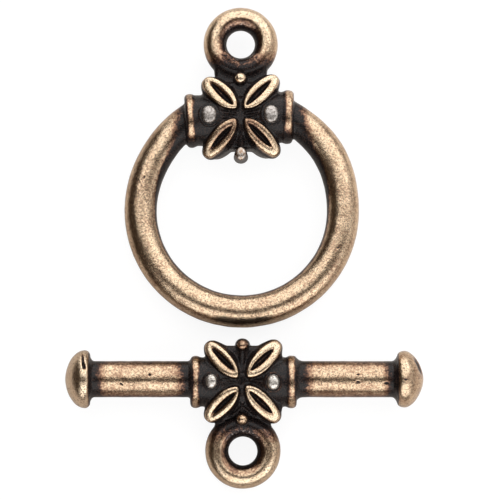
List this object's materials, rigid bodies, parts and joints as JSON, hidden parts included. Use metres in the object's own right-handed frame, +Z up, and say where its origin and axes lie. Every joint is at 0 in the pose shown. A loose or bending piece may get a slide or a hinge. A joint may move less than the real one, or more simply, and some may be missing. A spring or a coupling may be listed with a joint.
{
  "type": "toggle clasp",
  "caption": "Antiqued cast-metal toggle clasp, open: a round ring half and a domed-end bar half, each with a flower block and an eye, lying flat.",
  "frame": {"origin": "on the surface that both halves lie on, under the middle of their common outline", "axes": "+Z up, +Y from the bar half to the ring half, +X along the bar"},
  "size_m": [0.0242, 0.033, 0.0041],
  "materials": {
    "antique_bronze": "antiqued: dark patina in the recesses, satin worn highlights"
  },
  "bodies": {
    "root": {"toggle_ring": "antique_bronze", "toggle_bar": "antique_bronze"}
  },
  "joints": []
}
